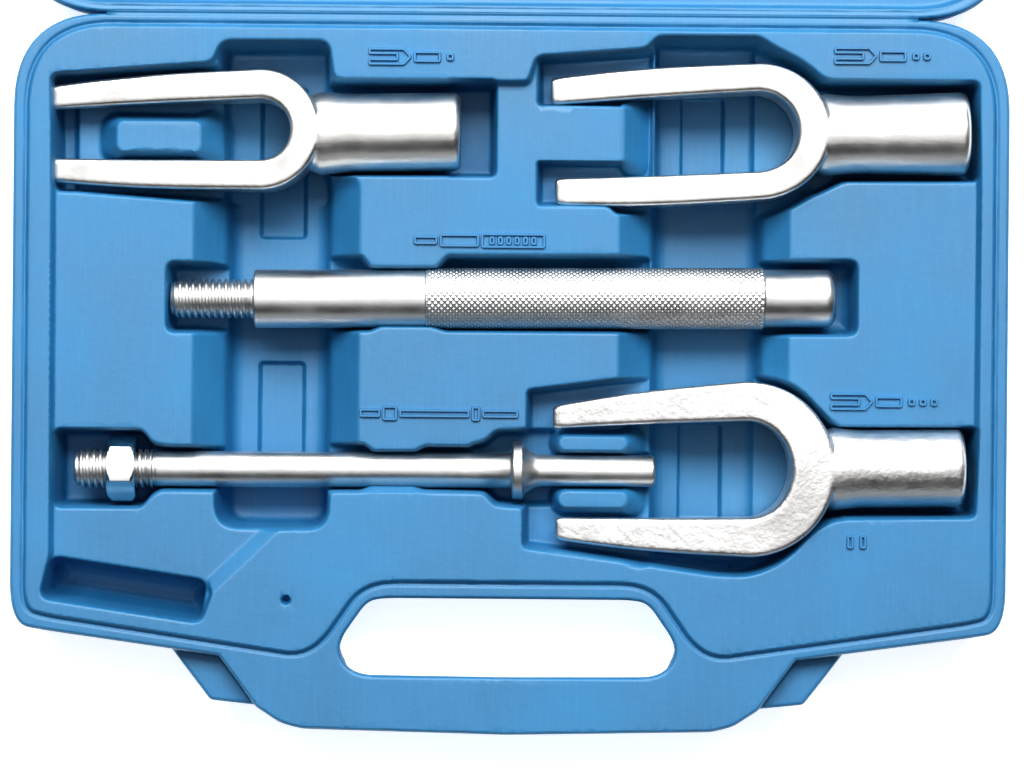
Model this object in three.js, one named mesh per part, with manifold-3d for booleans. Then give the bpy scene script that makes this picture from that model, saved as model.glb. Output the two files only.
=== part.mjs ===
// Ball joint separator set: three forks, a striking handle and an air hammer adapter with its jam nut,
// in a moulded carry case that lies open on its back. Millimetres, +Z up.
// The origin is the centre of the tray's underside, +X runs along the hinge and +Y points to it.
import * as THREE from 'three';
import { mergeVertices } from 'three/addons/utils/BufferGeometryUtils.js';
import Module from 'manifold-3d';

const wasm = await Module();
wasm.setup();

// ---- Driving dimensions -------------------------------------------------------------------------
const HALF_WIDTH = 160; // case, centre to side
const HINGE_Y = 116; // hinge line, behind the tray's centre
const PARTING_Z = 28; // plane where the two halves meet, and height of the hinge line
const HALF_GAP = 0.15; // each half stops this far short of the parting plane and of the hinge line
const TONGUE_Z = 29; // raised panel of the tray, which the lid's rim closes around
const PLATEAU_Z = 25.5; // lower panels between the tools
const WELL_Z = 6; // floor of the finger wells
const NUT_WELL_Z = 4.6; // floor of the deeper pocket under the nut
const HANDLE_UNDER_Z = 12; // underside of the carry handle
const EDGE_ROUND = 4; // rounding of the outer bottom edge

const LEDGE = { low: 15, high: 21, inset: 4 }; // lip that a latch hooks under
const LATCH = { width: 9.6, pinBack: 4.2, pinZ: 24, openAngle: 95, earInner: 5.1, earOuter: 6.6 };
const PIN_RADIUS = 1.2;
const GAP = 0.3; // between neighbouring pieces

const THREAD_RADIUS = 6.35; // half-inch screw thread
const SOCKET = { radius: 12.6, bore: 6.65, depth: 30, chamfer: 1.2 };
const HANDLE = { y: 25, z: 20.5, start: -109.5, neck: -83, grip: -27, plain: 81.8, end: 105.4 };
const HANDLE_RADIUS = { neck: 9.5, grip: 10, plain: 9.4, corner: 3 };
const ADAPTER = {
  y: -31, z: 19.5, start: -140.2, shaft: -115.4, collar: 1, cone: 4.6, shank: 11, end: 47.5,
};
const ADAPTER_RADIUS = { shaft: 5.8, collar: 9.4, shank: 5.1, corner: 1.2 };
const NUT = { x: -130.2, thickness: 9.6, acrossFlats: 19.05, bore: 6.65 };
const FORK_Z = 21.6; // axis of every fork's socket
const SHOULDER_THICKNESS = 24.6; // of a fork's wedge, at its thick end

const FORKS = [
  {
    name: 'fork_small', x: -81, y: 77.6, turn: 1.2, throat: 10.2, shoulder: 19,
    tipInner: 8.6, tipOuter: 15.5, reach: 67.2, tipThickness: 4, socketEnd: 61.7,
  },
  {
    name: 'fork_medium', x: 79.3, y: 78.2, turn: 2.3, throat: 13.8, shoulder: 22.3,
    tipInner: 12.9, tipOuter: 20, reach: 65, tipThickness: 4, socketEnd: 67.5,
  },
  {
    name: 'fork_large', x: 77, y: -29.8, turn: 0.9, throat: 16.2, shoulder: 27.8,
    tipInner: 14.9, tipOuter: 20.8, reach: 61.5, tipThickness: 4.5, socketEnd: 70.5,
  },
];

const COLOURS = { case: 0x4f93cf, latch: 0x2f6fb4, steel: 0xd2d4d6, plated: 0xc6c8ca };

// ---- Solids -------------------------------------------------------------------------------------
// A closed three.js geometry as a solid that can be joined and cut.
function solid(geometry) {
  const bare = geometry.clone();
  bare.deleteAttribute('normal');
  bare.deleteAttribute('uv');
  const merged = mergeVertices(bare, 1e-4);
  return new wasm.Manifold(new wasm.Mesh({
    numProp: 3,
    vertProperties: new Float32Array(merged.attributes.position.array),
    triVerts: new Uint32Array(merged.index.array),
  }));
}

// A finished solid as a named mesh.
function piece(name, body, colour, metal) {
  const mesh = body.getMesh();
  const geometry = new THREE.BufferGeometry();
  geometry.setAttribute('position', new THREE.BufferAttribute(new Float32Array(mesh.vertProperties), 3));
  geometry.setIndex(new THREE.BufferAttribute(new Uint32Array(mesh.triVerts), 1));
  geometry.computeVertexNormals();
  const material = new THREE.MeshStandardMaterial({
    color: colour,
    metalness: metal ? 1 : 0,
    roughness: metal ? 0.35 : 0.6,
  });
  const result = new THREE.Mesh(geometry, material);
  result.name = name;
  return result;
}

const joinAll = (bodies) => bodies.reduce((all, next) => all.add(next));
const cutAll = (body, cuts) => cuts.reduce((left, next) => left.subtract(next), body);

// An outline through the points, with each corner rounded by a curve that starts `radius` before it.
function outline(points, radius = 0) {
  const shape = new THREE.Shape();
  const corners = points.map(([x, y, own]) => ({ at: new THREE.Vector2(x, y), radius: own ?? radius }));
  corners.forEach((corner, i) => {
    const before = corners[(i + corners.length - 1) % corners.length].at;
    const after = corners[(i + 1) % corners.length].at;
    const part = (to) => Math.min(corner.radius / corner.at.distanceTo(to), 0.49);
    const enter = corner.at.clone().lerp(before, part(before));
    const leave = corner.at.clone().lerp(after, part(after));
    if (i === 0) shape.moveTo(enter.x, enter.y);
    else shape.lineTo(enter.x, enter.y);
    if (corner.radius > 0) shape.quadraticCurveTo(corner.at.x, corner.at.y, leave.x, leave.y);
  });
  shape.closePath();
  return shape;
}

// A straight-sided block from an outline, between two heights.
function block(points, low, high, radius = 0, segments = 3) {
  const shape = outline(points, radius);
  const geometry = new THREE.ExtrudeGeometry(shape, {
    depth: high - low, bevelEnabled: false, curveSegments: segments,
  });
  return solid(geometry).translate([0, 0, low]);
}

const box = (x0, x1, y0, y1, low, high) => block([[x0, y0], [x1, y0], [x1, y1], [x0, y1]], low, high);

// A block whose section in X and Z runs from y0 to y1.
function ridge(section, y0, y1) {
  const shape = new THREE.Shape(section.map(([x, z]) => new THREE.Vector2(x, z)));
  const geometry = new THREE.ExtrudeGeometry(shape, { depth: y1 - y0, bevelEnabled: false });
  return solid(geometry).rotate([90, 0, 0]).translate([0, y1, 0]);
}

// A turned piece along +X, from a profile of [x, radius] points that starts and ends on the axis.
function turned(profile, segments = 32) {
  const points = profile.map(([x, radius]) => new THREE.Vector2(radius, x));
  return solid(new THREE.LatheGeometry(points, segments)).rotate([0, 0, -90]);
}

function rod(x0, x1, radius, segments = 24) {
  return turned([[x0, 0], [x0, radius], [x1, radius], [x1, 0]], segments);
}

// The same points on both sides of the case: given right to left below, mirrored to close the loop.
const mirrored = (points) => [...points, ...points.map(([x, y, r]) => [-x, y, r]).reverse()];

// ---- Case ---------------------------------------------------------------------------------------
const hingeEnd = HINGE_Y - HALF_GAP;
const caseOutline = mirrored([
  [0.5, -116, 0], [68, -114.3, 3], [76, -111, 3], [80.2, -107.9, 1], [92.6, -91.6, 0], [108.7, -89.4, 2],
  [HALF_WIDTH, -81, 13], [HALF_WIDTH, hingeEnd, 30],
]);
const tongueOutline = mirrored([
  [41.5, -66.9, 6], [49, -70.5, 4], [60, -86.5, 6], [67.5, -90.4, 5], [150, -78.6, 6], [155.6, -76, 6],
  [155.6, 112.1, 26],
]);
const recessOutline = mirrored([
  [41.3, -67.5, 6], [48.6, -71.1, 4], [59.5, -87, 6], [67.3, -91.1, 5], [150.3, -79.2, 6],
  [156.2, -76.6, 6], [156.2, 112.6, 26],
]);
const gripHole = mirrored([[40, -72.2, 5], [44, -73.4, 4], [53.8, -87.5, 8], [49, -97, 8], [2, -97.6, 0]]);
const ledgeOutline = (side, inset) => [
  [side * 108.7, -89.4 + inset], [side * 92.6, -91.6 + inset], [side * 80.2, -107.9 + inset],
  [side * (95.5 - inset * 0.4), -106.2 + inset],
];

// One half of the case with its inner side up: a rounded slab, a thinner carry handle and two latch lips.
function caseHalf() {
  const slabGeometry = new THREE.ExtrudeGeometry(outline(caseOutline), {
    depth: PARTING_Z + 2 * EDGE_ROUND,
    bevelThickness: EDGE_ROUND,
    bevelSize: EDGE_ROUND,
    bevelOffset: -EDGE_ROUND,
    bevelSegments: 2,
    curveSegments: 4,
  });
  const reach = 2 * HALF_WIDTH;
  const slab = solid(slabGeometry)
    .translate([0, 0, EDGE_ROUND])
    .subtract(box(-reach, reach, -reach, reach, PARTING_Z - HALF_GAP, 3 * PARTING_Z));
  const underHandle = box(-reach, reach, -reach, -93, -1, HANDLE_UNDER_Z);
  const ledges = [-1, 1].flatMap((side) => [
    block(ledgeOutline(side, 0), LEDGE.low, LEDGE.high),
    block(ledgeOutline(side, LEDGE.inset), HANDLE_UNDER_Z, LEDGE.low + 1),
  ]);
  return joinAll([slab.subtract(underHandle), ...ledges])
    .subtract(block(gripHole, -1, 2 * PARTING_Z));
}

// A finger well across the case: sloping sides between the lower panels, from one y to another.
function fingerWell(x0, x1, y0, y1, slope) {
  const section = [[x0, WELL_Z], [x1, WELL_Z], [x1 + slope, PLATEAU_Z], [x1 + slope, 2 * PARTING_Z],
    [x0 - slope, 2 * PARTING_Z], [x0 - slope, PLATEAU_Z]];
  return ridge(section, y0, y1);
}

const basinOutline = [
  [-149.3, 95.5, 2], [-96.5, 100, 2], [-94, 107.2, 3], [-59.2, 107.2, 3], [-57.2, 95, 2], [5.5, 95, 2],
  [8, 103, 1], [43, 105.8, 2], [46, 109.6, 2], [80.5, 109.6, 2], [85, 106.5, 2], [100, 97.3, 3],
  [104, 95.7, 1], [150.7, 95.7, 2], [150.7, -44.6, 2], [105, -45, 4], [92.5, -55, 6], [76.5, -62.6, 8],
  [46, -60.2, 2], [4.8, -55.4, 2], [4.8, -42.6, 2], [-4.3, -41.8, 2], [-8, -38.2, 1], [-57.8, -38.2, 2],
  [-59, -49.8, 3], [-80, -50.4, 1], [-97, -67.5, 1], [-98.9, -79.4, 3], [-151, -73.5, 3], [-149, -59.5, 2],
];

// Pockets of the tray: straight walls, each down to the height that its tool needs.
function trayPockets() {
  const deep = 2 * PARTING_Z;
  const socketFloor = FORK_Z - SOCKET.radius - GAP;
  const tineFloor = { narrow: 12.3, wide: 15.2 };
  return [
    block(basinOutline, PLATEAU_Z, deep),
    // small fork: tines, throat over the well, socket cradle and the well past the socket's end
    block([[-149.3, 95.5], [-96.5, 100], [-92, 100], [-92, 55.2], [-149.3, 58.8]], tineFloor.narrow, deep),
    box(-58.5, -19, 64.9, 95, socketFloor, deep),
    box(-19.5, -5, 64.5, 95, WELL_Z, deep),
    // medium fork
    block([[8, 103], [43, 105.8], [46, 103], [46, 53], [35, 53.2], [8.3, 55]], tineFloor.wide, deep, 1),
    block(
      [[79, 109.6], [85, 106.5], [100, 97.3], [104, 95.7], [104, 63], [97, 58.5], [79, 50]],
      socketFloor, deep,
    ),
    box(103, 150.7, 64.8, 95.7, socketFloor, deep),
    // large fork
    block([[5.5, -4.8], [34, -1], [46, 0], [46, -60.2], [4.8, -55.4]], tineFloor.wide, deep, 1),
    block(
      [[79, 1], [89.5, -1], [97, -6], [104, -14], [106, -15.5], [106, -45], [92.5, -55], [79, -61.6]],
      socketFloor, deep,
    ),
    box(105, 150.7, -44.8, -15.4, socketFloor, deep),
    // striking handle, from its thread to its struck end
    box(-111.9, -80, 13.2, 36.4, 12, deep),
    box(-60, 46, 14.2, 35.8, HANDLE.z - HANDLE_RADIUS.grip - GAP, deep),
    box(78, 112.2, 14, 38.2, HANDLE.z - HANDLE_RADIUS.grip - GAP, deep),
    // air hammer adapter, from its nut to its shank
    box(-146.4, -117.4, -43.6, -18.6, NUT_WELL_Z, deep),
    box(-118, -115, -38.2, -24.2, ADAPTER.z - THREAD_RADIUS - GAP, deep),
    box(-116, -4, -38.2, -24.2, ADAPTER.z - ADAPTER_RADIUS.shaft - GAP, deep),
    box(-5.5, 14.6, -42.4, -19.6, ADAPTER.z - ADAPTER_RADIUS.collar - GAP, deep),
    box(14, 46, -37, -25, ADAPTER.z - ADAPTER_RADIUS.shank - GAP, deep),
    // storage recess beside the carry handle
    block([[-149, -59.5], [-97.5, -67.2], [-98.9, -79.4], [-151, -73.5]], WELL_Z, deep, 2),
    // finger wells
    fingerWell(-92, -58.5, -50, 64, 10),
    box(-94, -58, 60, 107.2, WELL_Z, deep),
    box(-95, -58.5, -49.8, -37, WELL_Z, deep),
    fingerWell(45.2, 79.6, -59, 63.5, 10),
    box(45.2, 79.6, 60, 109.6, WELL_Z, deep),
  ];
}

// Blocks that stand in the pockets: between the tines, and either side of the adapter's shank.
function trayBlocks() {
  return [
    block([[-129.5, 71], [-96, 71], [-96, 82.8], [-129.5, 82.8]], 12, PLATEAU_Z, 2),
    block([[5, 69.6], [40, 69.6], [40, 87.4], [5, 87.4]], 12, PLATEAU_Z, 2),
    block([[14.8, -23.8], [42.5, -23.8], [42.5, -18.8], [14.8, -18.8]], 10, PLATEAU_Z - 2, 1),
    block([[14.8, -43.2], [42.5, -43.2], [42.5, -38.2], [14.8, -38.2]], 10, PLATEAU_Z - 2, 1),
  ];
}

function tray() {
  const panel = block(tongueOutline, PARTING_Z - 2, TONGUE_Z);
  const body = cutAll(caseHalf().add(panel), trayPockets());
  return joinAll([body, ...trayBlocks()]);
}

// The lid has a deep recess for the tools' upper halves, pads that hold them down, and the latch hinges.
const LID_FLOOR_Z = 10;
const PAD = { socket: 20.6, grip: 24.4, rod: 24.6 };
function lid() {
  const floor = caseHalf().subtract(block(recessOutline, LID_FLOOR_Z, 2 * PARTING_Z));
  // across the case the lid is seen from its inner side, so what closes over +X lies at -X
  const pads = [
    box(24, 54, 66, 92, LID_FLOOR_Z - 2, PAD.socket),
    box(-142, -112, 68, 92, LID_FLOOR_Z - 2, PAD.socket),
    box(-142, -112, -42, -18, LID_FLOOR_Z - 2, PAD.socket),
    box(-30, 45, 16, 34, LID_FLOOR_Z - 2, PAD.grip),
    box(8, 54, -37, -25, LID_FLOOR_Z - 2, PAD.rod),
  ];
  const ears = [-1, 1].flatMap((side) => latchFrame(side, latchEars()));
  const bores = [-1, 1].map((side) => latchFrame(side, rod(-9, 9, PIN_RADIUS + GAP, 16)));
  return cutAll(joinAll([floor, ...pads, ...ears]), bores);
}

// ---- Latches ------------------------------------------------------------------------------------
// Latch parts are drawn along their pin: +X along it, -Y outwards, +Z towards the tray when closed.
const LEDGE_EDGE = { x: 91.4, y: -106.65, turn: 6.4 }; // middle of a ledge's outer edge

function latchFrame(side, body) {
  return body
    .translate([0, LATCH.pinBack, LATCH.pinZ])
    .rotate([0, 0, side * LEDGE_EDGE.turn])
    .translate([side * LEDGE_EDGE.x, LEDGE_EDGE.y, 0]);
}

function latchEars() {
  const earRadius = 2.8;
  const ear = (x0, x1) => joinAll([
    rod(x0, x1, earRadius, 20),
    box(x0, x1, -earRadius, earRadius, LEDGE.high - LATCH.pinZ - 1, 0),
  ]);
  return ear(-LATCH.earOuter, -LATCH.earInner).add(ear(LATCH.earInner, LATCH.earOuter));
}

function latchBody() {
  const half = LATCH.width / 2;
  const back = LATCH.pinBack;
  // section across the pin: neck up from the barrel, arm out over the ledges, plate, then the hook
  const section = [
    [1.5, 0], [1.5, 9.4], [-back - 0.6, 9.4], [-back - 0.6, 17.4], [-back + 2.6, 17.4], [-back + 1.6, 20.4],
    [-back - 1.2, 22.4], [-back - 3.4, 21.6], [-back - 3.4, 6], [-1.5, 6], [-1.5, 0],
  ];
  const shape = new THREE.Shape(section.map(([y, z]) => new THREE.Vector2(y, z)));
  const geometry = new THREE.ExtrudeGeometry(shape, { depth: LATCH.width, bevelEnabled: false });
  // the section's first axis becomes Y, its second becomes Z, and its depth runs along the pin
  geometry.applyMatrix4(new THREE.Matrix4().makeBasis(
    new THREE.Vector3(0, 1, 0), new THREE.Vector3(0, 0, 1), new THREE.Vector3(1, 0, 0),
  ));
  geometry.translate(-half, 0, 0);
  return solid(geometry).add(rod(-half, half, 2.5, 20)).subtract(rod(-9, 9, PIN_RADIUS + GAP, 16));
}

function latches() {
  return [['left', -1], ['right', 1]].flatMap(([name, side]) => {
    const open = latchBody().rotate([LATCH.openAngle, 0, 0]);
    const pin = rod(-LATCH.earOuter, LATCH.earOuter, PIN_RADIUS, 16);
    return [
      piece(`latch_${name}`, latchFrame(-side, open), COLOURS.latch, false),
      piece(`latch_pin_${name}`, latchFrame(-side, pin), COLOURS.steel, true),
    ];
  });
}

// ---- Forks --------------------------------------------------------------------------------------
// A fork in its own frame: throat centre at the origin, tips towards -X, socket towards +X.
function forkPlan({ reach, shoulder, throat, tipInner, tipOuter }) {
  const shape = new THREE.Shape();
  const tip = 1.6;
  shape.moveTo(-reach + tip, tipOuter);
  shape.lineTo(0, shoulder);
  shape.absarc(0, 0, shoulder, Math.PI / 2, -Math.PI / 2, true);
  shape.lineTo(-reach + tip, -tipOuter);
  shape.quadraticCurveTo(-reach, -tipOuter, -reach, -tipOuter + tip);
  shape.lineTo(-reach, -tipInner - tip);
  shape.quadraticCurveTo(-reach, -tipInner, -reach + tip, -tipInner);
  shape.lineTo(0, -throat);
  shape.absarc(0, 0, throat, -Math.PI / 2, Math.PI / 2, false);
  shape.lineTo(-reach + tip, tipInner);
  shape.quadraticCurveTo(-reach, tipInner, -reach, tipInner + tip);
  shape.lineTo(-reach, tipOuter - tip);
  shape.quadraticCurveTo(-reach, tipOuter, -reach + tip, tipOuter);
  return shape;
}

function fork(size) {
  const { reach, shoulder, tipThickness, throat, socketEnd } = size;
  const plan = solid(new THREE.ExtrudeGeometry(forkPlan(size), {
    depth: 2 * SHOULDER_THICKNESS, bevelEnabled: false, curveSegments: 10,
  })).translate([0, 0, -SHOULDER_THICKNESS]);
  const half = SHOULDER_THICKNESS / 2;
  const tipHalf = tipThickness / 2;
  const wedge = ridge(
    [[-reach, -tipHalf], [shoulder, -half], [shoulder, half], [-reach, tipHalf]],
    -2 * shoulder, 2 * shoulder,
  );
  const { radius, bore, depth, chamfer } = SOCKET;
  const start = throat + 1;
  const socket = turned([
    [start, 0], [start, radius - 4], [start + 4, radius], [socketEnd - chamfer, radius],
    [socketEnd, radius - chamfer], [socketEnd, 0],
  ], 36);
  return plan.intersect(wedge).add(socket)
    .subtract(turned([
      [socketEnd - depth, 0], [socketEnd - depth, bore], [socketEnd - 1, bore],
      [socketEnd + 1, bore + 2], [socketEnd + 1, 0],
    ], 24));
}

function forks() {
  return FORKS.map((size) => {
    const mesh = piece(size.name, fork(size), COLOURS.plated, true);
    mesh.position.set(size.x, size.y, FORK_Z);
    mesh.rotation.z = THREE.MathUtils.degToRad(size.turn);
    return mesh;
  });
}

// ---- Striking handle, adapter and nut -----------------------------------------------------------
function handle() {
  const { start, neck, grip, plain, end } = HANDLE;
  const { corner } = HANDLE_RADIUS;
  return turned([
    [start, 0], [start, THREAD_RADIUS - 1], [start + 1, THREAD_RADIUS], [neck, THREAD_RADIUS],
    [neck, HANDLE_RADIUS.neck - 0.8], [neck + 0.8, HANDLE_RADIUS.neck], [grip, HANDLE_RADIUS.neck],
    [grip, HANDLE_RADIUS.grip], [plain, HANDLE_RADIUS.grip], [plain, HANDLE_RADIUS.plain],
    [end - corner, HANDLE_RADIUS.plain], [end - corner * 0.3, HANDLE_RADIUS.plain - corner * 0.3],
    [end, HANDLE_RADIUS.plain - corner], [end, 0],
  ], 36);
}

function adapter() {
  const { start, shaft, collar, cone, shank, end } = ADAPTER;
  const { corner } = ADAPTER_RADIUS;
  return turned([
    [start, 0], [start, THREAD_RADIUS - 1], [start + 1, THREAD_RADIUS], [shaft, THREAD_RADIUS],
    [shaft, ADAPTER_RADIUS.shaft], [collar, ADAPTER_RADIUS.shaft], [collar, ADAPTER_RADIUS.collar],
    [cone, ADAPTER_RADIUS.collar], [(cone + shank) / 2, ADAPTER_RADIUS.shank + 1.3],
    [shank, ADAPTER_RADIUS.shank], [end - corner, ADAPTER_RADIUS.shank],
    [end, ADAPTER_RADIUS.shank - corner], [end, 0],
  ], 28);
}

function nut() {
  const corner = NUT.acrossFlats / Math.sqrt(3);
  const prism = solid(new THREE.CylinderGeometry(corner, corner, NUT.thickness, 6))
    .rotate([0, 30, -90])
    .translate([NUT.thickness / 2, 0, 0]);
  const chamfered = turned([
    [0, 0], [0, NUT.acrossFlats / 2], [1, corner], [NUT.thickness - 1, corner],
    [NUT.thickness, NUT.acrossFlats / 2], [NUT.thickness, 0],
  ], 36);
  return prism.intersect(chamfered).subtract(rod(-1, NUT.thickness + 1, NUT.bore, 28));
}

function placed(mesh, x, y, z) {
  mesh.position.set(x, y, z);
  return mesh;
}

// ---- Assembly -----------------------------------------------------------------------------------
const lidHalf = new THREE.Group();
lidHalf.add(piece('case_lid', lid(), COLOURS.case, false), ...latches());
lidHalf.position.set(0, 2 * HINGE_Y, 0);
lidHalf.rotation.z = Math.PI;

const set = new THREE.Group();
set.add(
  piece('case_tray', tray(), COLOURS.case, false),
  lidHalf,
  ...forks(),
  placed(piece('striking_handle', handle(), COLOURS.steel, true), 0, HANDLE.y, HANDLE.z),
  placed(piece('air_hammer_adapter', adapter(), COLOURS.steel, true), 0, ADAPTER.y, ADAPTER.z),
  placed(piece('jam_nut', nut(), COLOURS.steel, true), NUT.x, ADAPTER.y, ADAPTER.z),
);

export default set;
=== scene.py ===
"""Looks for the ball joint separator set: forks, striking handle and air hammer adapter in a moulded case.

Shapes are worked out in millimetres, in the same frame as the CAD, and become metres when a mesh is made.
"""
import math

import bmesh
import bpy
import numpy as np
from mathutils import Matrix, Vector

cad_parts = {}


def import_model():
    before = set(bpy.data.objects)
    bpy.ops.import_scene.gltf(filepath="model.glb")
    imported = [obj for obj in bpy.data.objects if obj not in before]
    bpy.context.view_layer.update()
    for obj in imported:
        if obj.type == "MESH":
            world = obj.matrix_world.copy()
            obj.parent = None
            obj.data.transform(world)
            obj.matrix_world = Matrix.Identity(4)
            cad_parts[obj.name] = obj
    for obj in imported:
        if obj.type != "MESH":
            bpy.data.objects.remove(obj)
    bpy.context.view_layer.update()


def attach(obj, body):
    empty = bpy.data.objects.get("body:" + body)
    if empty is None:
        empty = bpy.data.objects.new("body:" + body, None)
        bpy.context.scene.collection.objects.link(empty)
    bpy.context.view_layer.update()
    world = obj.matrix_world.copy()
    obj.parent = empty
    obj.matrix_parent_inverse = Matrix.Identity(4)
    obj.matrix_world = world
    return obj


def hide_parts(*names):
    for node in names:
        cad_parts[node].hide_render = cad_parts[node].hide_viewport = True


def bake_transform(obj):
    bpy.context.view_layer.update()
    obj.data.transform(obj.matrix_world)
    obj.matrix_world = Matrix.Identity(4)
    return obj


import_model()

MM = 0.001
CELL = 0.5  # spacing of the points that a moulded surface is made from
VOXEL = 0.42  # of the forged forks
NEARBY = 4  # no wall reaches further than this past its outline
DEEP = 16.5  # depth of most pockets, which with its run gives a wall its slope
LONGEST_CURVE = 0.49  # share of a side that the curve at one of its corners may take

# ---- Case sizes, in millimetres
HINGE_Y = 116.0
FLANGE_Z = 27.85
PANEL_Z = 29.0
PLATEAU_Z = 25.5
WELL_Z = 6.0
HANDLE_UNDER_Z = 12.0
SLOPE_FOOT_Z = 14.5  # where the sloping sides of the finger wells turn steep
LEDGE_TOP_Z = 21.0
LEDGE_UNDER_Z = 15.0
LID_FLOOR_Z = 10.0


def rectangle(x0, x1, y0, y1):
    return [(x0, y0), (x1, y0), (x1, y1), (x0, y1)]


def mirrored(points):
    """Points along the right-hand side, followed by the same points on the left to close the loop."""
    return points + [(-p[0],) + tuple(p[1:]) for p in reversed(points)]


CASE = mirrored([
    (0.5, -116, 0), (66.5, -114.6, 3), (73.2, -112.7, 2), (81, -107.6, 1), (93.2, -91.2, 0),
    (109.2, -89, 2), (148, -83.7, 4), (160.8, -81.6, 14), (160.8, 115.85, 30),
])
PANEL = mirrored([
    (41.5, -66.8, 6), (49, -70.5, 4), (60, -86.5, 6), (67.5, -90.6, 5), (149, -78.6, 6), (156, -76.6, 8),
    (156, 112.1, 27),
])
GRIP_HOLE = mirrored([(40, -72.1, 5), (45.4, -73.2, 4), (55.8, -88.2, 7), (50.4, -97.2, 7), (2, -97.6, 0)])
LEDGES = [
    [(s * 109.2, -89.1), (s * 93.2, -91.2), (s * 81, -107.6), (s * 96.2, -106)] for s in (-1, 1)
]


# ---- Outlines and relief
def rounded(points, radius=2.0):
    """A closed outline through the points, with curved corners. A point may bring its own radius."""
    corners = np.array([point[:2] for point in points], float)
    outline = []
    for i, corner in enumerate(corners):
        own = points[i][2] if len(points[i]) > 2 else radius
        if own <= 0:
            outline.append(corner)
            continue
        before = corners[i - 1] - corner
        after = corners[(i + 1) % len(corners)] - corner
        enter = corner + before * min(own / np.linalg.norm(before), LONGEST_CURVE)
        leave = corner + after * min(own / np.linalg.norm(after), LONGEST_CURVE)
        for t in np.linspace(0, 1, 5 + int(own / 2)):
            outline.append((1 - t) ** 2 * enter + 2 * t * (1 - t) * corner + t * t * leave)
    return np.array(outline)


def distance(outline, x, y):
    """Signed distance from a closed outline, negative inside it."""
    nearest = np.full(x.shape, np.inf)
    inside = np.zeros(x.shape, bool)
    for (ax, ay), (bx, by) in zip(outline, np.roll(outline, -1, axis=0)):
        ex, ey = bx - ax, by - ay
        length2 = ex * ex + ey * ey
        if length2 < 1e-12:
            continue
        t = np.clip(((x - ax) * ex + (y - ay) * ey) / length2, 0, 1)
        nearest = np.minimum(nearest, (x - ax - t * ex) ** 2 + (y - ay - t * ey) ** 2)
        if ay != by:
            inside ^= ((ay > y) != (by > y)) & (x < ex * (y - ay) / ey + ax)
    return np.where(inside, -1, 1) * np.sqrt(nearest)


def wall(depth, run, top=1.0, foot=1.5):
    """Section of a drafted wall with rounded edges: distances from its top edge, and shares of its depth."""
    slope = math.atan2(depth, run)
    lip = top * math.tan(slope / 2)
    toe = foot * math.tan(slope / 2)
    section = []
    for turn in np.linspace(0, slope, 5):
        section.append((lip - top * math.sin(turn), top * (1 - math.cos(turn)) / depth))
    for turn in np.linspace(slope, 0, 5):
        section.append((-run - toe + foot * math.sin(turn), 1 - foot * (1 - math.cos(turn)) / depth))
    section = np.array(sorted(section))
    return section[:, 0], np.clip(section[:, 1], 0, 1)


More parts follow.
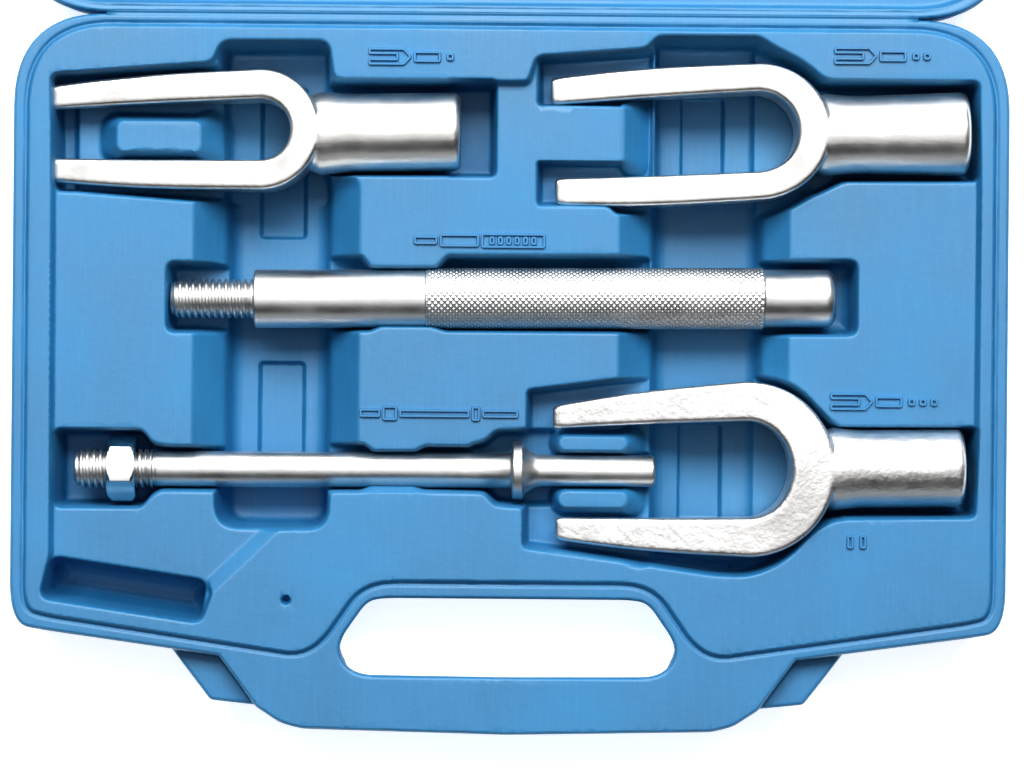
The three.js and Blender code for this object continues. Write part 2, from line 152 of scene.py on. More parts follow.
class Relief:
    """Heights over a plan, changed by cuts and mounds."""

    def __init__(self, x, y, height):
        self.x = x
        self.y = y
        self.z = np.full(x.shape, float(height))

    def around(self, outline, margin):
        low = outline.min(0) - margin
        high = outline.max(0) + margin
        return (self.x > low[0]) & (self.x < high[0]) & (self.y > low[1]) & (self.y < high[1])

    def shape(self, chosen, share, height, lower):
        """Moves the chosen points a share of the way to a height: down if lower is true, else up."""
        z = self.z[chosen]
        change = np.minimum(height - z, 0) if lower else np.maximum(height - z, 0)
        self.z[chosen] = z + change * share

    def cut(self, points, floor, run=1.2, top=1.0, foot=1.5, radius=2.0, depth=DEEP, lower=True):
        """A pocket whose top edge is the outline."""
        outline = rounded(points, radius)
        chosen = self.around(outline, NEARBY)
        d = distance(outline, self.x[chosen], self.y[chosen])
        self.shape(chosen, np.interp(d, *wall(depth, run, top, foot)), floor, lower)

    def mound(self, points, height, run, top, foot, depth, radius=2.0):
        """A raised block whose foot is the outline."""
        self.cut(points, height, run, foot, top, radius, depth, lower=False)

    def tapered(self, x_range, y_range, runs, height, lower, rounds=(1.0, 1.5), depth=19.0, corner=2.5):
        """A four-sided pocket or block with its own slope on each side: left, right, front and back."""
        left, right, front, back = runs
        low = np.array([x_range[0] + left, y_range[0] + front])
        high = np.array([x_range[1] - right, y_range[1] - back])
        centre = (low + high) / 2
        half = (high - low) / 2 - corner
        chosen = np.abs(self.x - centre[0]) < half[0] + corner + max(left, right) + NEARBY
        chosen &= np.abs(self.y - centre[1]) < half[1] + corner + max(front, back) + NEARBY
        over_x = self.x[chosen] - centre[0]
        over_y = self.y[chosen] - centre[1]
        inner_x = np.abs(over_x) - half[0]
        inner_y = np.abs(over_y) - half[1]
        past_x = np.maximum(inner_x, 1e-6)
        past_y = np.maximum(inner_y, 1e-6)
        out = np.hypot(past_x, past_y)
        run_x = np.where(over_x > 0, right, left)
        run_y = np.where(over_y > 0, back, front)
        run = np.hypot(run_x * past_x, run_y * past_y) / out
        middle = (left + right + front + back) / 4
        out = out - corner + np.minimum(np.maximum(inner_x, inner_y), 0)
        d = out * middle / run - middle
        top, foot = rounds
        self.shape(chosen, np.interp(d, *wall(depth, middle, top, foot)), height, lower)

    def ramp(self, foot, top, low, high):
        """A plane rising from one line to another, between the ends of the two."""
        outline = np.array([foot[0], top[0], top[1], foot[1]])
        chosen = self.around(outline, 1)
        x, y = self.x[chosen], self.y[chosen]
        away = []
        for (ax, ay), (bx, by) in (foot, top):
            away.append(np.abs((x - ax) * (by - ay) - (y - ay) * (bx - ax)) / math.hypot(bx - ax, by - ay))
        height = low + (high - low) * away[0] / (away[0] + away[1])
        share = np.clip(0.5 - distance(outline, x, y), 0, 1)
        self.shape(chosen, share, height, False)

    def line(self, outline, offset, depth, width):
        """A shallow groove that follows an outline, at an offset outside it."""
        chosen = self.around(outline, offset + 3 * width)
        d = distance(outline, self.x[chosen], self.y[chosen]) - offset
        self.z[chosen] -= depth * np.exp(-((d / width) ** 2))


# ---- Case meshes
def smooth_mesh(name, vertices, faces):
    mesh = bpy.data.meshes.new(name)
    sizes = np.array([len(face) for face in faces])
    mesh.vertices.add(len(vertices))
    mesh.vertices.foreach_set("co", (np.asarray(vertices, float) * MM).ravel())
    mesh.loops.add(int(sizes.sum()))
    mesh.loops.foreach_set("vertex_index", np.concatenate([np.asarray(face) for face in faces]))
    mesh.polygons.add(len(faces))
    mesh.polygons.foreach_set("loop_start", np.concatenate([[0], np.cumsum(sizes)[:-1]]))
    mesh.polygons.foreach_set("loop_total", sizes)
    mesh.polygons.foreach_set("use_smooth", np.ones(len(faces), bool))
    mesh.update(calc_edges=True)
    mesh.validate()
    piece = bpy.data.objects.new(name, mesh)
    bpy.context.scene.collection.objects.link(piece)
    return piece


def tube_faces(rows, around, ring=False):
    """Faces between rings of points. A ring tube also joins its last ring to its first."""
    faces = []
    for i in range(rows if ring else rows - 1):
        here = i * around
        there = (i + 1) % rows * around
        for j in range(around):
            k = (j + 1) % around
            faces.append((here + j, here + k, there + k, there + j))
    return faces


def end_faces(rows, around):
    return [tuple(reversed(range(around))), tuple(range((rows - 1) * around, rows * around))]


def plan_grid():
    """Grid points over the case, moved onto its edge where they are near it, and the cells between them."""
    half_x, half_y = 161, 117
    xs = np.arange(-half_x, half_x + CELL / 2, CELL)
    ys = np.arange(-half_y, half_y + CELL / 2, CELL)
    x, y = np.meshgrid(xs, ys)
    case = distance(rounded(CASE, 2), x, y)
    hole = distance(rounded(GRIP_HOLE, 2), x, y)
    edge = case
    for ledge in LEDGES:
        edge = np.minimum(edge, distance(rounded(ledge, 1), x, y))
    edge = np.maximum(edge, -hole)
    down_y, down_x = np.gradient(edge, CELL)
    length = np.maximum(np.hypot(down_x, down_y), 1e-6)
    lead = np.maximum(np.abs(down_x), np.abs(down_y)) / length
    near = np.abs(edge) <= 0.5 * CELL * lead
    x = np.where(near, x - edge * down_x / length, x)
    y = np.where(near, y - edge * down_y / length, y)
    edge = np.where(near, 0, edge)
    case = np.where(near & (np.abs(case) <= 0.5 * CELL), 0, case)
    kept = edge <= 0
    number = np.full(x.shape, -1)
    number[kept] = np.arange(kept.sum())
    a, b, c, d = number[:-1, :-1], number[:-1, 1:], number[1:, 1:], number[1:, :-1]
    quads = np.stack([a, b, c, d], -1).reshape(-1, 4)
    present = (quads >= 0).sum(1)
    faces = [tuple(q) for q in quads[present == 4]]
    faces += [tuple(v for v in q if v >= 0) for q in quads[present == 3]]
    inward = np.stack([-down_x[kept] / length[kept], -down_y[kept] / length[kept]], -1)
    return x[kept], y[kept], edge[kept], case[kept], inward, faces


def open_sides(faces):
    """The grid's open edges, each as (from, to) in the direction of its face."""
    edges = dict.fromkeys(side for face in faces for side in zip(face, face[1:] + face[:1]))
    return [(a, b) for a, b in edges if (b, a) not in edges]


GRID = plan_grid()
RIM_HEIGHT = 4.0  # of the flange round each half's mouth
RIM_STEP = 1.0  # how far the wall stands back under it
RIM_STEP_RUN = 8.0  # how far in from the edge that step fades out
RIM_SHARES = (0.0, 0.5, 1.0)  # rows of points across the flange's underside
RIM_DROP = 0.35  # how much lower the underside is at the wall than at its edge
THINNEST = 0.6  # height that is left under the flange where the case is thin
EDGE_TOP = 0.9  # rounding of the flange's edge
EDGE_BASE = 4.0  # rounding of the bottom edge
LEDGE_RISE = 0.6  # most that this rounding lifts a ledge's edge


def round_off(edge, radius):
    """How far a rounded edge falls away, by distance (negative inside) from the outline."""
    return 0.75 * np.clip(radius + edge, 0, radius) ** 2 / radius


def underside(x, y, edge, case):
    """The outer face: three sunk panels, ribs in two of them, the thinner carry handle and the ledges."""
    under = Relief(x, y, 0)
    under.mound(rectangle(-170, 170, -93, -130), HANDLE_UNDER_Z, run=2, top=2.5, foot=2, depth=12)
    panels = [(-148, -20), (-10, 10), (20, 148)]
    panel_depth = 1.6
    for x0, x1 in panels:
        panel = rectangle(x0, x1, -62, 98)
        under.mound(panel, panel_depth, run=2.4, top=1.5, foot=1.5, radius=9, depth=panel_depth)
    for y0 in np.arange(-44, 90, 22):
        for x0, x1 in (panels[0], panels[2]):
            rib = rectangle(x0 + 10, x1 - 10, y0, y0 + 9)
            under.cut(rib, 0.5, run=1.5, top=0.8, foot=0.8, radius=4, depth=1.1)
    ledge_share = np.interp(-case, *wall(LEDGE_UNDER_Z, 0.8, 0.8, 0.8))
    under.z += (np.maximum(LEDGE_UNDER_Z, under.z) - under.z) * ledge_share
    rise = round_off(edge, EDGE_BASE)
    under.z += np.where(case > 0, np.minimum(rise, LEDGE_RISE), rise)
    return under


def case_half(name, carve):
    """One half with its inner side up. carve changes the inner surface's relief."""
    x, y, edge, case, inward, faces = GRID
    relief = Relief(x, y, FLANGE_Z)
    carve(relief)
    outside_share = np.interp(-case, *wall(FLANGE_Z - LEDGE_TOP_Z, 0.5, 0.8, 0.8))
    relief.z += (np.minimum(LEDGE_TOP_Z, relief.z) - relief.z) * outside_share
    relief.z -= round_off(edge, EDGE_TOP)
    under = underside(x, y, edge, case)
    set_back = RIM_STEP * np.clip(1 + edge / RIM_STEP_RUN, 0, 1) * (case <= 0)
    under_x = x + inward[:, 0] * set_back
    under_y = y + inward[:, 1] * set_back

    rim_z = np.maximum(relief.z - RIM_HEIGHT, under.z + THINNEST)
    sides = open_sides(faces)
    ring = np.array(sorted({a for a, b in sides}))
    layers = [(x, y, relief.z), (under_x, under_y, under.z)]
    for share in RIM_SHARES:
        layers.append((
            x[ring] + (under_x[ring] - x[ring]) * share,
            y[ring] + (under_y[ring] - y[ring]) * share,
            np.maximum(rim_z[ring] - RIM_DROP * share, under.z[ring] + 0.1),
        ))
    vertices = np.concatenate([np.stack(layer, -1) for layer in layers])
    count = len(x)
    solid = list(faces)
    solid += [tuple(count + v for v in reversed(face)) for face in faces]
    # the side's rows, from the inner face down to the outer one, each as the numbers of its points
    rows = [{v: v for v in ring}]
    for k in range(len(RIM_SHARES)):
        rows.append({v: 2 * count + k * len(ring) + i for i, v in enumerate(ring)})
    rows.append({v: count + v for v in ring})
    for upper, lower in zip(rows, rows[1:]):
        solid += [(upper[b], upper[a], lower[a], lower[b]) for a, b in sides]
    return smooth_mesh(name, vertices, solid)


def carve_tray(relief):
    panel = rounded(PANEL, 4)
    d = distance(panel, relief.x, relief.y)
    relief.z += (PANEL_Z - FLANGE_Z) * np.interp(d, *wall(PANEL_Z - FLANGE_Z, 0.5, 0.4, 0.5))
    # the groove round the raised panel
    relief.z -= 0.9 * np.exp(-(((d - 0.7) / 0.42) ** 2))
    # the sunk area that the tools lie in
    basin = [
        (-148.3, 96.2, 2.5), (-96.8, 100.3, 3), (-94, 107.2, 4), (-59.3, 107.4, 4), (-57.2, 95, 3),
        (5, 95, 1.5), (7.6, 102.8, 1.5), (43, 105.8, 3), (46.3, 109.7, 3), (80.3, 109.9, 3),
        (85, 106.5, 4), (94, 102, 6), (101, 96, 4), (150.6, 96, 2.5), (151.6, 60, 1), (151.4, -16, 1),
        (150.4, -44.5, 2.5), (105, -45.7, 5), (97.7, -50.1, 4), (90.3, -58.4, 8), (79, -64.1, 9),
        (67, -63.9, 4), (40.8, -60.3, 3), (4.8, -55.5, 2), (4.7, -42.6, 2), (-4.3, -41.8, 2),
        (-8, -37.8, 2), (-57.7, -38, 2), (-58.6, -49.8, 5), (-73.9, -50.4, 1), (-95.4, -71.3, 2),
        (-98.6, -80.7, 3), (-151, -73, 4), (-148, -59.5, 2),
    ]
    relief.cut(basin, PLATEAU_Z, run=0.9, top=0.7, foot=0.8, depth=PANEL_Z - PLATEAU_Z)
    # the slope between the storage recess and the well beside it, up to the rim
    relief.ramp([(-80.7, -50.9), (-97.3, -66.5)], [(-73.4, -50.2), (-95.6, -71.8)], PLATEAU_Z, PANEL_Z)
    # wells between the tools: sloping sides, then steep ones
    relief.tapered((-102.8, -48.7), (-30.0, 63.5), (10.5, 10.0, 1.6, 1.6), SLOPE_FOOT_Z, True, (0.9, 0.8), 10)
    relief.tapered((-92.6, -58.4), (-49.8, 64), (2.4, 2.4, 2, 2), WELL_Z, True, (1.2, 4.5), 10, 4)
    relief.cut([(-94, 54), (-58.4, 54), (-58.6, 98), (-59.3, 107.2), (-94, 107), (-95.5, 98)], WELL_Z,
               run=1.8, top=1.2, foot=2.2, radius=3.5)
    relief.cut([(-95.5, -31), (-58.5, -31), (-58.6, -50), (-94.4, -50)], WELL_Z,
               run=2.2, top=1.2, foot=9, radius=7)
    relief.tapered((35.0, 90.4), (-58.4, 60.0), (10.9, 9.6, 1.6, 1.6), SLOPE_FOOT_Z, True, (0.9, 0.8), 10)
    relief.tapered((45.8, 82.0), (-58.4, 64), (2.4, 2.4, 2, 2), WELL_Z, True, (1.2, 4.5), 10, 4)
    relief.cut([(46, 54), (81, 54), (81, 109.7), (45.8, 109.6)], WELL_Z,
               run=1.8, top=1.2, foot=2.2, radius=3)
    relief.cut([(46, -50), (46, -59.4), (67, -62.4), (81, -61.8), (81, -50)], WELL_Z,
               run=1.8, top=1.2, foot=2.2)
    # small fork
    relief.cut([(-148.4, 95.8), (-96, 99.8), (-90, 100), (-90, 55.4), (-102.8, 55.5), (-147.6, 58.6)], 13,
               run=1.4, foot=1.6, depth=DEEP - 4)
    relief.cut([(-148.4, 95.8), (-141.5, 96.4), (-141.5, 58.4), (-147.6, 58.6)], 9, run=1.2, depth=8)
    relief.cut([(-62, 95), (-18, 95), (-18, 64.4), (-62, 64.2)], 8.4, run=1.6, foot=4)
    relief.cut([(-21, 95.2), (-5, 95.2), (-5, 64.3), (-21, 64.3)], WELL_Z, run=1.4, foot=1.6, depth=DEEP + 2)
    # medium fork
    relief.cut([(8.4, 103), (43, 105.6), (46.5, 106), (46.5, 52.6), (34, 52.4), (31.5, 55), (8.4, 55)], 15,
               run=1.3, foot=1.4, radius=1.5, depth=DEEP - 4)
    relief.cut([(77, 109.8), (84.5, 106.6), (94, 102), (101, 96), (104, 95), (108, 92), (108, 64),
                (98, 59.2), (89.7, 54.2), (77, 50)], 8.4, run=1.6, foot=3, radius=6)
    relief.cut([(97, 96), (150.6, 96), (151, 64), (107.6, 63.6), (98, 59)], 8.4, run=1.5, foot=4)
    # large fork
    relief.cut([(4.8, -38), (4.8, -55.4), (40.8, -60.1, 3), (67, -63.8, 5), (79, -64, 10), (90.4, -58.2, 9),
                (97.6, -49.9, 5), (104.6, -45.6, 3), (108, -45.4, 1), (108, -38, 1)], 14.2,
               run=1.4, foot=1.4, radius=1.5, depth=DEEP - 4)
    relief.cut([(5.8, -4.6), (34, -0.9), (46, 0), (46, -59.6), (5.6, -54.6)], 14,
               run=1.3, foot=1.4, radius=1.5, depth=DEEP - 4)
    relief.cut([(77, 2), (90, -0.9), (97, -6), (104, -14), (108, -15.8), (108, -45.2), (104, -45.2),
                (96.4, -49.6, 4), (89.2, -57.4, 8), (78.6, -62.9, 8), (72, -62.6, 1), (72, 1, 2)], 8.4,
               run=1.7, foot=3, radius=7)
    relief.cut([(98, -15.6), (151.4, -15.4), (150.4, -44.6), (99, -45.1)], 8.4, run=1.5, foot=4)
    # striking handle
    relief.cut([(-111.2, 36, 3), (-96, 35.8), (-90, 35), (-90, 13), (-111.2, 13, 3)], 11.6, run=1.6, foot=2,
               depth=DEEP - 2)
    relief.cut([(-60, 38.6), (-48.2, 38.6, 1), (-45.2, 34.7, 1), (-24, 34.8, 1), (-20.4, 38.8, 1),
                (46, 39.2), (46, 14.2), (-20.6, 14.1, 1), (-25.4, 15.6, 1), (-42, 15.5, 1), (-45.4, 13.9, 1),
                (-60, 13.8)], 10, run=1.8, foot=7, depth=DEEP - 1)
    relief.cut([(80, 38), (112.2, 38.2, 3), (112.2, 13.9, 3), (80, 13.6)], 10,
               run=1.6, foot=4, depth=DEEP - 1)
    # air hammer adapter
    relief.cut([(-147, -18.5, 2.5), (-118.6, -18.5, 2.5), (-115.6, -22.8, 2.5), (-111, -23.6, 2),
                (-90, -23.8), (-90, -38.2), (-113, -38.2, 2), (-116.6, -41, 2.5), (-118.8, -43.6, 2),
                (-147, -43.7, 2.5)], 12.6, run=1.6, foot=2, depth=DEEP - 3)
    relief.cut([(-147, -18.5, 2.5), (-118.6, -18.5, 2.5), (-116, -23, 2.5), (-116, -40, 2.5),
                (-118.8, -43.6, 2), (-147, -43.7, 2.5)], 7, run=1.8, foot=3)
    relief.cut([(-62, -22.4), (-47, -22.4, 1), (-44, -24.8, 1), (-30.4, -24.7, 1), (-27, -22.9, 1),
                (-5, -23), (-5, -38), (-27.2, -37.6, 1), (-31.2, -36.4, 1), (-44.7, -36.4, 1),
                (-48, -37.9, 1), (-62, -38)], 12.8, run=1.2, foot=3.5, depth=DEEP - 4)
    relief.cut([(-13, -22.6), (-7.6, -21), (-4.2, -17.8), (6, -17.2), (15.5, -17.2), (15.5, -42.6),
                (4.8, -42.6), (-4.3, -41.9), (-8.2, -37.8), (-13, -36.6)], 9.4,
               run=1.4, foot=2, radius=1.5, depth=DEEP - 1)
    relief.cut(rectangle(12, 47, -24.6, -37.2), 12, run=0.8, foot=3, depth=DEEP - 4)
    # storage recess
    relief.cut([(-147.6, -59.7), (-97.3, -67.2), (-99.2, -80.6), (-150.8, -73)], WELL_Z, run=1.6, top=1.0,
               foot=6, radius=3.5)
    # blocks between the tines and beside the shank
    relief.tapered((-134.2, -91.5), (69.7, 84.5), (6.4, 9, 1.6, 3.0), PLATEAU_Z - 1, False, (1.6, 0.9), 12)
    relief.tapered((2, 46.2), (68.4, 88.4), (1, 10, 1.0, 1.0), PLATEAU_Z, False, (1.5, 0.9), 12, 1.2)
    for y0, y1, front, back in ((-26.2, -17.6, 2.0, 1.8), (-45.2, -35.4, 2.6, 1.8)):
        relief.tapered((13.4, 45.4), (y0, y1), (2.6, 7, front, back), 23.2, False, (1.2, 0.9), 10)
    # shallow strips sunk in the floors of the wells
    strip_depth = 2
    for sides in ((-82.4, -67.2, 44.3, 94), (-82.4, -67.2, -33, 4), (55.4, 69.8, 64.5, 92),
                  (55.4, 69.8, -47, -15)):
        relief.cut(rectangle(*sides), WELL_Z - strip_depth, run=0.7, top=0.5, foot=0.5, radius=1.5,
                   depth=strip_depth)
    # steps beside them in the right-hand wells
    step_height = 2.4
    for y0, y1 in ((64, 92), (-45, -14)):
        step = rectangle(80.2, 93, y0, y1)
        relief.mound(step, WELL_Z + step_height, run=1.2, top=0.8, foot=0.8, depth=step_height)
    # the mark that the blowing needle left
    from_needle = np.hypot(relief.x + 71.5, relief.y + 73)
    relief.z -= 4 * np.clip(1.6 - from_needle, 0, 1)


def carve_lid(relief):
    """The lid lies the other way round: what closes over +X of the tray is at -X here."""
    relief.line(rounded(PANEL, 4), 1.6, 0.5, 0.5)
    inner = mirrored([
        (41.3, -67.5, 6), (48.6, -71.1, 4), (59.5, -87, 6), (67.3, -91.1, 5), (150.3, -79.2, 6),
        (156.2, -76.6, 6), (156.2, 112.6, 26),
    ])
    relief.cut(inner, 21, run=1.2, top=0.9, foot=1.2, radius=4, depth=7)
    step = mirrored([
        (42, -59, 8), (56, -63, 6), (66, -79, 8), (74, -84, 6), (142, -74.5, 8), (149.5, -70, 8),
        (149.5, 105.5, 22),
    ])
    relief.cut(step, LID_FLOOR_Z, run=3.0, top=1.6, foot=3, radius=4, depth=11)
    field = mirrored([(44, -42, 8), (138, -58, 8), (138, 92, 14)])
    relief.mound(field, LID_FLOOR_Z + 1.4, run=3, top=1.5, foot=1.5, depth=1.4)
    for y0 in np.arange(-38, 84, 17.5):
        groove = rectangle(-128, 128, y0, y0 + 5)
        relief.cut(groove, LID_FLOOR_Z + 0.4, run=1.2, top=0.8, foot=0.8, radius=2.4, depth=1)
    pads = [
        (24, 54, 66, 92, 19.8), (-142, -112, 68, 92, 19.8), (-142, -112, -42, -18, 19.8),
        (-30, 45, 16, 34, 24.4), (8, 54, -37, -25, 24.6),
    ]
    for x0, x1, y0, y1, top in pads:
        relief.tapered((x0 - 3, x1 + 3), (y0 - 3, y1 + 3), (3.4, 3.4, 3.4, 3.4), top, False, (2.4, 1.2), 12)


def finish_case(piece, limit):
    """Thins the flat stretches of a moulded mesh, so that it stays easy to handle."""
    triangles = sum(len(polygon.vertices) - 2 for polygon in piece.data.polygons)
    if triangles > limit:
        thin = piece.modifiers.new("thin", "DECIMATE")
        thin.ratio = limit / triangles
        apply_modifiers(piece)
    piece.data.polygons.foreach_set("use_smooth", np.ones(len(piece.data.polygons), bool))
    level = piece.modifiers.new("level", "WEIGHTED_NORMAL")
    level.mode = "FACE_AREA_WITH_ANGLE"
    apply_modifiers(piece)


def apply_modifiers(piece):
    depsgraph = bpy.context.evaluated_depsgraph_get()
    done = bpy.data.meshes.new_from_object(piece.evaluated_get(depsgraph))
    old = piece.data
    piece.modifiers.clear()
    piece.data = done
    bpy.data.meshes.remove(old)


tray = case_half("case_tray_shell", carve_tray)
finish_case(tray, 190000)
lid = case_half("case_lid_shell", carve_lid)
finish_case(lid, 150000)
lid.data.transform(Matrix.Translation((0, 2 * HINGE_Y * MM, 0)) @ Matrix.Rotation(math.pi, 4, "Z"))


# ---- Pictograms
STROKE = dict(foot=0.56, crest=0.3, height=0.95, rooted=0.2)


def bar(x, y, long, high):
    return rectangle(x, x + long, y + high / 2, y - high / 2)


def fork_sign(x, y, count):
    """A fork with its socket, followed by as many dots as its place in the set."""
    u = [(x, y + 2.4), (x + 11, y + 2.4), (x + 13.2, y), (x + 11, y - 2.4), (x, y - 2.4), (x, y - 1),
         (x + 9, y - 1), (x + 9, y + 1), (x, y + 1)]
    return [u, bar(x + 14.6, y, 8, 2.8)] + [bar(x + 25.2 + 3.6 * dot, y, 1.6, 1.6) for dot in range(count)]


def handle_sign(x, y):
    grip = [bar(x + 24.4 + 2.7 * mark, y, 1.1, 2) for mark in range(6)]
    return [bar(x, y, 7, 2), bar(x + 8.4, y, 12, 3.4), bar(x + 21.8, y, 20, 4)] + grip


def adapter_sign(x, y):
    parts = [(0, 6, 2), (7.4, 4, 4), (12.8, 22, 1.8), (36.2, 2, 4), (39.6, 11, 1.8)]
    return [bar(x + start, y, long, high) for start, long, high in parts]


def tally(x, y):
    return [bar(x, y, 1.4, 3.6), bar(x + 4.1, y, 1.4, 3.6)]


def raised_signs():
    """Every pictogram as a low ridge along its outline."""
    signs = [
        (PANEL_Z, fork_sign(-46, 102.5, 1)),
        (PANEL_Z, fork_sign(104, 104, 2)),
        (PLATEAU_Z, fork_sign(104, -7.4, 3)),
        (PLATEAU_Z, handle_sign(-31, 43.6)),
        (PLATEAU_Z, adapter_sign(-48, -12.4)),
        (PANEL_Z, tally(109.5, -52.6)),
    ]
    section = [(STROKE["foot"], -STROKE["rooted"]), (STROKE["crest"], STROKE["height"])]
    section += [(-across, up) for across, up in reversed(section)]
    vertices, faces = [], []
    for ground, outlines in signs:
        for points in outlines:
            outline = rounded(points, 0.4)
            ahead = np.roll(outline, -1, axis=0) - np.roll(outline, 1, axis=0)
            ahead /= np.linalg.norm(ahead, axis=1)[:, None]
            start, n = len(vertices), len(outline)
            for across, up in section:
                side = outline + across * np.stack([-ahead[:, 1], ahead[:, 0]], -1)
                vertices += [(x, y, ground + up) for x, y in side]
            faces += [tuple(start + v for v in face) for face in tube_faces(len(section), n, ring=True)]
    return smooth_mesh("case_pictograms", vertices, faces)


# ---- Turned pieces
def turned(name, stations, around, radius_at=None, ring=False):
    """A piece turned about X from (x, radius) stations; radius_at(x, angle, radius) may shape its surface."""
    angles = np.linspace(0, 2 * math.pi, around, endpoint=False)
    x, radius = np.array(stations, float).T
    grid_x, grid_a = np.meshgrid(x, angles, indexing="ij")
    grid_r = np.repeat(radius[:, None], around, axis=1)
    if radius_at is not None:
        grid_r = radius_at(grid_x, grid_a, grid_r)
    vertices = np.stack([grid_x, grid_r * np.cos(grid_a), grid_r * np.sin(grid_a)], -1).reshape(-1, 3)
    faces = tube_faces(len(stations), around, ring)
    if not ring:
        faces += end_faces(len(stations), around)
    return smooth_mesh(name, vertices, faces)


def stretch(x0, x1, radius, spacing):
    count = max(int(round((x1 - x0) / spacing)), 1)
    return [(x, radius) for x in np.linspace(x0, x1, count + 1)]


def edge_round(x, radius, size, outward):
    """Stations round an outer corner: outward 1 ends a stretch that runs to +X, -1 starts one."""
    turns = np.linspace(0, math.pi / 2, 6)
    points = [(x - outward * size * (1 - math.sin(t)), radius - size * (1 - math.cos(t))) for t in turns]
    return points if outward > 0 else list(reversed(points))


THREAD = dict(radius=6.35, depth=1.15, pitch=2.12, crest=1.7, flank=4.0, end=1.7, lead=1.1)


def threaded(x, angle, radius, low, high):
    """Cuts the thread's helix between two places: narrow crests with wide, rounded roots."""
    phase = ((x / THREAD["pitch"] - angle / (2 * math.pi)) % 1.0) - 0.5
    crest = np.clip(THREAD["crest"] - np.abs(phase) * THREAD["flank"], 0, 1)
    crest = crest * crest * (3 - 2 * crest)
    fade = np.clip((x - low) / 1.6, 0, 1) * np.clip((high - x) / 1.2, 0, 1)
    cut = THREAD["depth"] * (1 - crest * fade)
    return np.where((x > low - 0.01) & (x < high + 0.01), np.minimum(radius, THREAD["radius"] - cut), radius)


def thread_start(x):
    """Stations of the chamfer at a thread's end."""
    return [(x, THREAD["radius"] - THREAD["end"]), (x + 0.5, THREAD["radius"] - THREAD["lead"])]


def place(piece, x, y, z, turn_degrees):
    turn = Matrix.Rotation(math.radians(turn_degrees), 4, "Z")
    piece.data.transform(Matrix.Translation((x * MM, y * MM, z * MM)) @ turn)
    return piece


HANDLE = dict(start=-110.0, neck=-83.0, grip=-27.0, plain=81.8, end=105.4, neck_radius=9.5,
              grip_radius=10, plain_radius=9.4, y=25.0, z=20.5, turn=0.5)
KNURL = dict(around=32, length=1.95, depth=0.5, samples=6)


def knurled(x, angle, radius):
    """Small pyramids between crossed grooves."""
    along = (x - HANDLE["grip"]) / KNURL["length"]
    round_ = angle * KNURL["around"] / (2 * math.pi)
    first = np.abs(((along + round_) % 1.0) - 0.5) * 2
    second = np.abs(((along - round_) % 1.0) - 0.5) * 2
    rise = np.clip(np.minimum(1 - first, 1 - second) * 1.3, 0, 1)
    inside = (x > HANDLE["grip"]) & (x < HANDLE["plain"])
    return np.where(inside, radius - KNURL["depth"] * (1 - rise), radius)


def striking_handle():
    h = HANDLE
    step = KNURL["length"] / KNURL["samples"]
    stations = thread_start(h["start"])
    stations += stretch(h["start"] + 0.7, h["neck"] - 0.2, THREAD["radius"], THREAD["pitch"] / 10)
    stations += edge_round(h["neck"], h["neck_radius"], 0.7, -1)
    stations += stretch(h["neck"] + 2, h["grip"] - 0.6, h["neck_radius"], 6)
    stations += [(h["grip"] - 0.3, h["neck_radius"] + 0.05)]
    stations += stretch(h["grip"], h["plain"], h["grip_radius"], step)
    stations += [(h["plain"] + 0.3, h["plain_radius"] + 0.05)]
    stations += stretch(h["plain"] + 0.8, h["end"] - 4, h["plain_radius"], 5)
    stations += edge_round(h["end"], h["plain_radius"], 3.2, 1)
    stations += [(h["end"], 5)]

    def surface(x, angle, radius):
        return knurled(x, angle, threaded(x, angle, radius, h["start"] + 0.6, h["neck"] - 1.2))

    piece = turned("striking_handle_turned", stations, KNURL["samples"] * KNURL["around"], surface)
    return place(piece, 0, h["y"], h["z"], h["turn"])


ADAPTER = dict(start=-140.8, shaft=-115.4, collar=1.0, cone=4.6, shank=11.0, end=47.5,
               shaft_radius=5.8, collar_radius=9.4, cone_radius=8.5, shank_radius=5.1,
               y=-30.8, z=19.5, turn=0.2)


def air_hammer_adapter():
    a = ADAPTER
    shank = a["shank_radius"]
    stations = thread_start(a["start"])
    stations += stretch(a["start"] + 0.7, a["shaft"] - 0.2, THREAD["radius"], THREAD["pitch"] / 12)
    stations += [(a["shaft"], a["shaft_radius"] - 0.5), (a["shaft"] + 0.8, a["shaft_radius"] - 0.05)]
    stations += stretch(a["shaft"] + 2, a["collar"] - 0.6, a["shaft_radius"], 10)
    stations += [(a["collar"] - 0.2, a["shaft_radius"] + 0.3)]
    stations += edge_round(a["collar"], a["collar_radius"], 0.9, -1)
    stations += edge_round(a["cone"], a["collar_radius"], 0.6, 1)
    for t in np.linspace(0.05, 1, 8):
        x = a["cone"] + (a["shank"] - a["cone"]) * t
        stations.append((x, shank + (a["cone_radius"] - shank) * (1 - t) ** 2.2))
    stations += stretch(a["shank"] + 1.5, a["end"] - 1.4, shank, 8)
    stations += edge_round(a["end"], shank, 1.1, 1)
    stations += [(a["end"], 2)]

    def surface(x, angle, radius):
        return threaded(x, angle, radius, a["start"] + 0.6, a["shaft"] - 0.8)

    piece = turned("air_hammer_adapter_turned", stations, 72, surface)
    return place(piece, 0, a["y"], a["z"], a["turn"])


NUT = dict(x=-130.2, y=-31.0, thickness=9.6, across_flats=19.05, bore=6.9, lean=-9.0,
           sink=0.9, chamfer=1.5, rim=0.15, blunt=0.12)


